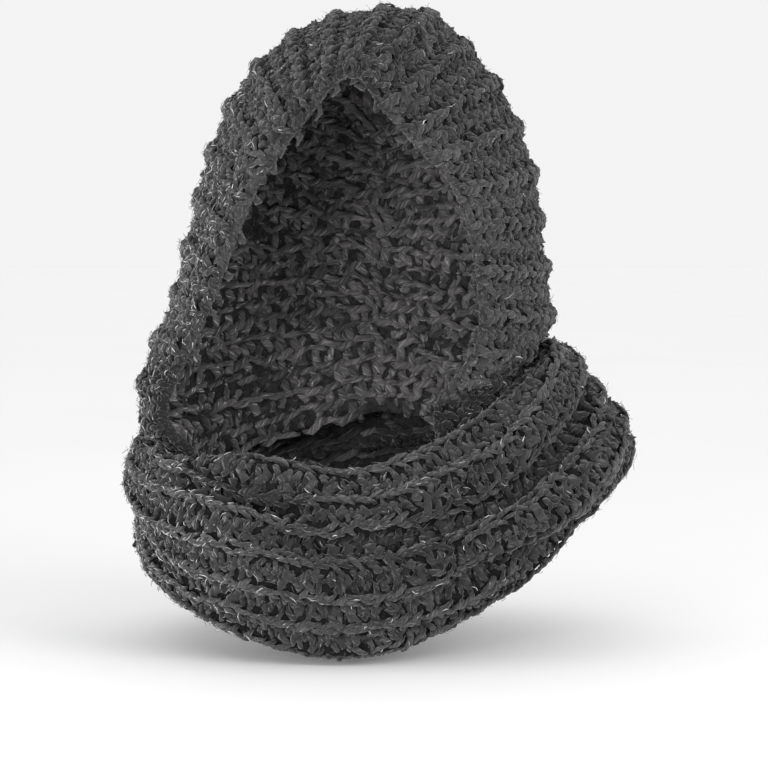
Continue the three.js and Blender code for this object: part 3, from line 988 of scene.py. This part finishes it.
def paint_shade_on_hood(strands, sizes):
    """Paints shade on the hood's yarn where it goes into the cowl, at the crown, and low on the left."""
    high, aside = above_rim(strands, sizes), strands["place"][:, 0]
    low = 1 - smooth_step(high, 30 * MM, 75 * MM)
    strands["shade"] -= ENTRY_PAINTED_SHADE * (1 - smooth_step(high, 4 * MM, 16 * MM))
    strands["shade"] -= CROWN_PAINTED_SHADE * smooth_step(strands["place"][:, 2], -110 * MM, -20 * MM)
    strands["shade"] -= mix(*LEFT_PAINTED_SHADE, low) * smooth_step(-aside, 60 * MM, 100 * MM)


def paint_light_on_cowl(strands):
    """Paints light on the cowl's yarn, a little all over, mostly on the left and a little on the right."""
    aside = strands["place"][:, 0]
    strands["shade"] += COWL_PAINTED_LIGHT + COWL_LEFT_PAINTED_LIGHT * smooth_step(-aside, 30 * MM, 100 * MM)
    strands["shade"] += COWL_RIGHT_PAINTED_LIGHT * smooth_step(aside, 60 * MM, 120 * MM)


def above_rim(strands, sizes):
    """How high the hood's lengths of yarn lie above the cowl's rim."""
    place = strands["place"]
    return place[:, 2] - rim_at(sizes, place[:, 0], place[:, 1])[:, 1]


def fibres(strands, rng, count, weights, size, lift):
    """Loose fibres that lie on the yarn, picked by weight: each is as long and thick as size."""
    picked = rng.choice(len(weights), count, replace=False, p=weights / weights.sum())
    outward = strands["outward"][picked]
    lay = unit(strands["lay"][picked] + rng.normal(0, 0.45, (count, 3)) + outward * 0.1)
    first, forms = form_range(3)
    uneven = rng.uniform(0.6, 1.4, (count, 1))
    return {
        "place": strands["place"][picked] + outward * lift + rng.normal(0, 0.5 * MM, (count, 3)),
        "lay": lay,
        "outward": outward,
        "share": np.hstack([size[0] * uneven, np.full((count, 2), size[1])]),
        "kind": first + rng.integers(0, forms, count),
        "shade": rng.random(count),
    }


def edge_strands(face, sizes, yarn, side, rng):
    """Strands that wrap over a border of the cloth, which is column 0 or the last rib."""
    grid, normals = face.points, face.normals
    if side == "face":
        line, normal, inwards = grid[:, 0], normals[:, 0], grid[:, 1]
    else:
        line, normal, inwards = grid[-1], normals[-1], grid[-2]
    away = unit(line - inwards)
    way = way_along(line)
    parts = []
    radius = sizes.wall / 2 - yarn.strand_thickness * 0.45
    for turn, lean in LAPS:
        count = int(way[-1] / (yarn.stitch_length * 0.95))
        at = (np.arange(count) + rng.random(count) * 0.35 + (0.5 if turn in (-20, 60) else 0)) / count
        wanted = np.clip(at, 0, 1) * way[-1]

        def read(values):
            return np.stack([np.interp(wanted, way, values[:, axis]) for axis in range(3)], -1)

        here, up, out = read(line), unit(read(normal)), unit(read(away))
        ahead = unit(read(np.gradient(line, axis=0)))
        angle = math.radians(turn) + rng.normal(0, 0.12, count)
        outward = out * np.cos(angle)[:, None] + up * np.sin(angle)[:, None]
        centre = here - up * (sizes.wall / 2)
        round_ = np.cross(outward, ahead)
        slant = math.radians(lean) + rng.normal(0, yarn.wander, count)
        part = {
            "place": centre + outward * radius,
            "lay": ahead * np.cos(slant)[:, None] + round_ * np.sin(slant)[:, None],
            "outward": outward,
            "share": np.tile((0.95, 1.0, 1.0), (count, 1)),
            "kind": rng.integers(0, 2, count),
            "shade": rng.random(count),
        }
        parts.append(part)
    return gathered(parts)


class Paint(Tree):
    """A new material, as its node tree and its shader."""

    def __init__(self, name):
        self.material = bpy.data.materials.new(name)
        self.material.use_nodes = True
        super().__init__(self.material.node_tree)
        self.shader = self.tree.nodes["Principled BSDF"]
        self.place = self.add("ShaderNodeTexCoord", output="Object")

    def noise(self, place, scale, detail=2.0):
        inputs = {"Vector": place, "Scale": scale, "Detail": detail}
        return self.add("ShaderNodeTexNoise", inputs)

    def attribute(self, name):
        return self.add("ShaderNodeAttribute", output="Fac", attribute_name=name)

    def blend(self, share, low, high):
        return self.add("ShaderNodeMix", {0: share, 6: low, 7: high}, 2, data_type="RGBA")

    def ramp(self, value, low, high, most=1.0):
        inputs = {0: value, 1: low, 2: high, 3: 0.0, 4: 1.0}
        share = self.add("ShaderNodeMapRange", inputs, interpolation_type="SMOOTHSTEP")
        return share if most == 1.0 else self.times(share, most)

    def bump(self, height, strength, distance):
        inputs = {"Strength": strength, "Distance": distance, "Height": height}
        self.give(self.shader.inputs["Normal"], self.add("ShaderNodeBump", inputs))

    def finish(self, colour, roughness, surface):
        """Gives the shader its colour and its constants, and returns the material."""
        for key, value in {"Base Color": colour, "Roughness": roughness, **surface}.items():
            self.give(self.shader.inputs[key], value)
        return self.material


def rgba(colour, share=1.0):
    return (*(channel * share for channel in colour), 1.0)


def yarn_material(name, yarn, lighter):
    """Twisted wool: plies wound round each strand, with painted shade in their grooves, where the strand
    dips into the cloth and in creases, pale fibres and a few silvery ones, more of them on the left as
    painted glints. Lighter multiplies its colours as painted light, for the inside, where little light
    comes."""
    wool = Paint(name)
    patches, fibres = wool.noise(wool.place, 32.0, 3.0), wool.noise(wool.place, 900.0, 3.0)
    shade, low = wool.attribute("shade"), wool.attribute("low")
    turn = wool.add("ShaderNodeUVMap", uv_map="turn")
    along, round_, _ = wool.node("ShaderNodeSeparateXYZ", {0: turn}).outputs
    slant = wool.plus(wool.times(along, 0.7), round_)
    wound = wool.plus(wool.times(wool.math("SINE", wool.times(slant, PLIES)), 0.5), 0.5)
    drawn = {0: wool.times(along, 2.4), 1: wool.times(slant, 10.0), 2: wool.times(shade, 71.0)}
    hairs = wool.noise(wool.add("ShaderNodeCombineXYZ", drawn), 1.0)

    # The strand's shade brings random tone with painted light and shade; the plies' grooves get painted
    # shade.
    tone = wool.plus(wool.times(shade, 0.42), wool.times(wound, 0.24))
    tone = wool.plus(tone, wool.ramp(patches, 0.35, 0.65, 0.2))
    tone = wool.plus(tone, wool.ramp(fibres, 0.3, 0.7, 0.16))
    dark, mid, pale = (rgba(colour, lighter) for colour in (yarn.dark, yarn.mid, yarn.pale))
    colour = wool.blend(wool.ramp(tone, 0.1, 0.6), dark, mid)
    colour = wool.blend(wool.ramp(tone, 0.62, 1.1), colour, pale)
    colour = wool.blend(wool.ramp(hairs, 0.6, 0.4, 0.6), colour, dark)
    colour = wool.blend(wool.ramp(hairs, 0.56, 0.7, 0.6), colour, pale)
    # More silvery streaks on the left, as painted glints where the light from the left falls on silvery
    # fibres.
    aside = wool.add("ShaderNodeSeparateXYZ", {0: wool.place})
    least = wool.math("SUBTRACT", 0.75, wool.ramp(aside, 0.0, -0.12, 0.08))
    silver = wool.times(wool.math("GREATER_THAN", hairs, least), 0.7 * lighter)
    colour = wool.blend(silver, colour, rgba(yarn.fleck))
    # Painted shade: near black where the strand's shade is deep in creases, and darker where the strand
    # dips into the cloth.
    colour = wool.blend(wool.ramp(shade, 0.1, -0.6, 0.85), colour, rgba(dark[:3], 0.4))
    colour = wool.blend(wool.ramp(low, -0.3, 0.5, 0.85), colour, rgba(dark[:3], 0.5))

    height = wool.plus(hairs, wool.times(wound, 0.7))
    wool.bump(wool.plus(height, wool.times(fibres, 0.8)), 0.7, 0.0007)
    sheen = {"Sheen Weight": 0.25, "Sheen Roughness": 0.5}
    return wool.finish(colour, 0.92, {"Specular IOR Level": 0.2, **sheen})


def wall_material(name, yarn):
    """The depth of the cloth between its stitches: dark wool with a lumpy, fibrous surface, darker than
    the yarn outside as painted shade in the gaps, and lighter on the inside as painted light."""
    wool = Paint(name)
    lumps = wool.add("ShaderNodeTexVoronoi", {"Vector": wool.place, "Scale": 260.0})
    fibres = wool.noise(wool.place, 700.0, 4.0)
    tone = wool.ramp(wool.plus(wool.times(fibres, 0.7), wool.times(lumps, 0.4)), 0.3, 0.8)
    # Painted shade outside, in the gaps between the stitches, and painted light inside, where little light
    # comes.
    outer = wool.blend(tone, rgba(yarn.dark, 0.35), rgba(yarn.dark, 0.8))
    inner = wool.blend(tone, rgba(yarn.dark), rgba(yarn.dark, 2.8))
    colour = wool.blend(wool.attribute("inside"), outer, inner)
    wool.bump(wool.math("SUBTRACT", fibres, lumps), 0.8, 0.001)
    return wool.finish(colour, 0.97, {"Specular IOR Level": 0.1})


def fibre_material(name, low, high, roughness, specular):
    """Single fibres, each of a shade of its own."""
    wool = Paint(name)
    tone = wool.plus(wool.attribute("shade"), wool.noise(wool.place, 500.0))
    colour = wool.blend(wool.ramp(wool.times(tone, 0.5), 0.2, 0.8), low, high)
    return wool.finish(colour, roughness, {"Specular IOR Level": specular})


def material(name):
    """A yarn or wall material by name, made the first time that it is asked for."""
    yarn = bpy.context.scene.snood_yarn
    if name in bpy.data.materials:
        return bpy.data.materials[name]
    if name == "cloth_depth":
        return wall_material(name, yarn)
    if name == "fuzz":
        return fibre_material(name, rgba(yarn.mid), rgba(yarn.pale, 1.5), 0.9, 0.2)
    if name == "silver":
        return fibre_material(name, rgba(yarn.pale), rgba(yarn.fleck), 0.5, 0.5)
    # The inner yarn is the outer one with painted light.
    return yarn_material(name, yarn, INNER_PAINTED_LIGHT if name == "inner_yarn" else 1.0)


SHARED = {}


def shared(key):
    """The faces, the strands and the node tree, each made once."""
    if key not in SHARED:
        sizes = bpy.context.scene.snood_sizes
        make = {
            "hood": lambda: hood_faces(sizes),
            "cowl": lambda: cowl_faces(sizes),
            "strands": strand_collection,
            "tree": strand_tree,
        }[key]
        SHARED[key] = make()
    return SHARED[key]


class SNOOD_OT_walls(bpy.types.Operator):
    """Makes the knitted wall of the hood and of the cowl, under their stitches"""

    bl_idname = "snood.walls"
    bl_label = "Knitted walls"

    def execute(self, context):
        for name, under in UNDER_STITCHES.items():
            outer, inner = shared(name)
            pairs = None if outer.closed else back_seam(outer)
            mesh = face_outwards(shell(f"{name}_wall", outer, inner, under), pairs)
            put(f"{name}_wall", mesh, "cloth_depth", (name,))
        return {"FINISHED"}


class SNOOD_OT_hood_stitches(bpy.types.Operator):
    """Crochets the hood's outer and inner stitches and its face edge"""

    bl_idname = "snood.hood_stitches"
    bl_label = "Hood stitches"

    def execute(self, context):
        sizes, yarn = context.scene.snood_sizes, context.scene.snood_yarn
        outer, inner = shared("hood")
        rng = np.random.default_rng(HOOD_SEED)
        half = outer.ribs // 2
        left = stitches(outer, HOOD_STITCH, yarn, 0, half, rng)
        right = stitches(outer, HOOD_STITCH, yarn, half, outer.ribs, rng, -1.0)
        border = edge_strands(outer, sizes, yarn, "face", rng)
        for side in (left, right, border):
            paint_shade_on_hood(side, sizes)
        left, right = (chosen(side, above_rim(side, sizes) > -SKIRT_SHOWS) for side in (left, right))
        SHARED["hood_yarns"] = gathered([left, right])
        lining = stitches(inner, INNER_STITCH, yarn, 0, inner.ribs, rng, spread=INNER_SPREAD["hood"])
        knit("hood_stitches_left", left, "outer_yarn", 1)
        knit("hood_stitches_right", right, "outer_yarn", 2)
        knit("hood_inner_stitches", lining, "inner_yarn", 3)
        knit("hood_face_edge", border, "outer_yarn", 4)
        return {"FINISHED"}


class SNOOD_OT_cowl_stitches(bpy.types.Operator):
    """Crochets the cowl's outer and inner stitches and its hem"""

    bl_idname = "snood.cowl_stitches"
    bl_label = "Cowl stitches"

    def execute(self, context):
        sizes, yarn = context.scene.snood_sizes, context.scene.snood_yarn
        outer, inner = shared("cowl")
        rng = np.random.default_rng(COWL_SEED)
        strands = stitches(outer, COWL_STITCH, yarn, 0, outer.ribs, rng)
        strands = chosen(strands, ~under_hood(strands, sizes))
        paint_light_on_cowl(strands)
        SHARED["cowl_yarns"] = strands
        front = strands["place"][:, 1] < 0
        lining = stitches(inner, INNER_STITCH, yarn, 0, inner.ribs, rng, spread=INNER_SPREAD["cowl"])
        border = edge_strands(outer, sizes, yarn, "hem", rng)
        knit("cowl_stitches_front", chosen(strands, front), "outer_yarn", 5)
        knit("cowl_stitches_back", chosen(strands, ~front), "outer_yarn", 6)
        knit("cowl_inner_stitches", lining, "inner_yarn", 7)
        knit("cowl_hem_edge", border, "outer_yarn", 8)
        return {"FINISHED"}


class SNOOD_OT_fibres(bpy.types.Operator):
    """Adds the loose fibres and the silvery ones, most of them on the left as painted glints"""

    bl_idname = "snood.fibres"
    bl_label = "Loose fibres"

    def execute(self, context):
        yarn = context.scene.snood_yarn
        rng = np.random.default_rng(FIBRE_SEED)
        for name, seed, share in FIBRE_SHARES:
            yarns = SHARED[f"{name}_yarns"]
            even = np.ones(len(yarns["place"]))
            lift = yarn.strand_thickness * FUZZ_LIFT
            fuzz = fibres(yarns, rng, yarn.fuzz_count, even, FUZZ_SIZE, lift)
            knit(f"{name}_fuzz", fuzz, "fuzz", seed)
            # The silvery fibres are real, but they gather on the left, at the front and on the ridges as
            # painted glints, where the light from the left falls.
            aside, front = yarns["place"][:, 0], -yarns["place"][:, 1]
            left = smooth_step(-aside, 0.05, 0.11) + 0.04
            ridge = 1 + 2.5 * (yarns["kind"] < form_range(1)[0])
            weights = (left * smooth_step(front, -0.05, 0.03) + 0.02) * ridge
            lift = yarn.strand_thickness * FLECK_LIFT
            count = round(yarn.fleck_count * share)
            flecks = fibres(yarns, rng, count, weights, FLECK_SIZE, lift)
            knit(f"{name}_flecks", flecks, "silver", seed + 1)
        return {"FINISHED"}


class SNOOD_OT_sheets(bpy.types.Operator):
    """An empty step, which changes nothing"""

    bl_idname = "snood.sheets"
    bl_label = "Sheets of cloth"

    def execute(self, context):
        return {"FINISHED"}


def aimed(name, data, place, target):
    """Adds a light or a camera, turned to its target."""
    item = added(name, data)
    item.location = place
    aim = Vector(target) - item.location
    item.rotation_euler = aim.to_track_quat("-Z", "Y").to_euler()
    return item


class SNOOD_OT_stage(bpy.types.Operator):
    """Puts down the floor, the soft lights and the camera"""

    bl_idname = "snood.stage"
    bl_label = "Floor, light and camera"

    def execute(self, context):
        scene = context.scene
        stage = scene.snood_stage
        mesh = bpy.data.meshes.new("floor")
        level = CAD_BOX[0][2] - 4 * MM
        corners = [(x * FLOOR_HALF, y * FLOOR_HALF, level) for x, y in SQUARE]
        mesh.from_pydata(corners, [], [(0, 1, 2, 3)])
        floor = added("floor", mesh)
        paint = Paint("floor_paint")
        speckle = paint.ramp(paint.noise(paint.place, 3.0), 0.3, 0.7)
        colour = paint.blend(speckle, rgba(stage.floor_colour, 0.985), rgba(stage.floor_colour))
        glow = {"Emission Color": (1.0, 1.0, 1.0, 1.0), "Emission Strength": 0.05}
        mesh.materials.append(paint.finish(colour, 0.8, glow))

        world = bpy.data.worlds.new("studio")
        scene.world = world
        world.use_nodes = True
        sky = world.node_tree.nodes["Background"]
        sky.inputs[0].default_value = (1.0, 1.0, 1.0, 1.0)
        sky.inputs[1].default_value = stage.sky
        for name, place, size in LIGHTS:
            data = bpy.data.lights.new(name, "AREA")
            data.shape = "DISK"
            data.size = size
            data.energy = getattr(stage, f"{name}_power")
            aimed(name, data, place, LIGHT_TARGET).visible_camera = False

        data = bpy.data.cameras.new("camera")
        data.sensor_width = 36
        data.lens = LENS
        data.clip_end = 60
        scene.camera = aimed("camera", data, CAMERA_PLACE, CAMERA_TARGET)
        scene.view_settings.view_transform = "Standard"
        return {"FINISHED"}


class SNOOD_PT_panel(bpy.types.Panel):
    """Lists the snood hood's sizes, colours and steps"""

    bl_idname = "SNOOD_PT_panel"
    bl_label = "Snood hood"
    bl_space_type = "VIEW_3D"
    bl_region_type = "UI"
    bl_category = "Snood"

    def draw(self, context):
        scene = context.scene
        for group in (scene.snood_sizes, scene.snood_yarn, scene.snood_stage):
            box = self.layout.box()
            for key in group.__annotations__:
                box.prop(group, key)
        for operator in OPERATORS:
            self.layout.operator(operator.bl_idname)


OPERATORS = (
    SNOOD_OT_walls,
    SNOOD_OT_hood_stitches,
    SNOOD_OT_cowl_stitches,
    SNOOD_OT_fibres,
    SNOOD_OT_sheets,
    SNOOD_OT_stage,
)
GROUPS = {"snood_sizes": SnoodSizes, "snood_yarn": SnoodYarn, "snood_stage": SnoodStage}
CLASSES = (*GROUPS.values(), *OPERATORS, SNOOD_PT_panel)


def register():
    for item in CLASSES:
        bpy.utils.register_class(item)
    for name, group in GROUPS.items():
        setattr(bpy.types.Scene, name, bpy.props.PointerProperty(type=group))


def unregister():
    for name in GROUPS:
        delattr(bpy.types.Scene, name)
    for item in reversed(CLASSES):
        bpy.utils.unregister_class(item)


def clear_strands():
    """Removes the strands that the stitches were picked from."""
    group = SHARED.pop("strands")
    for strand in list(group.objects):
        mesh = strand.data
        bpy.data.objects.remove(strand)
        bpy.data.meshes.remove(mesh)
    bpy.data.collections.remove(group)


def main():
    register()
    for operator in OPERATORS:
        area, name = operator.bl_idname.split(".")
        getattr(getattr(bpy.ops, area), name)()
    clear_strands()


if __name__ == "__main__":
    main()
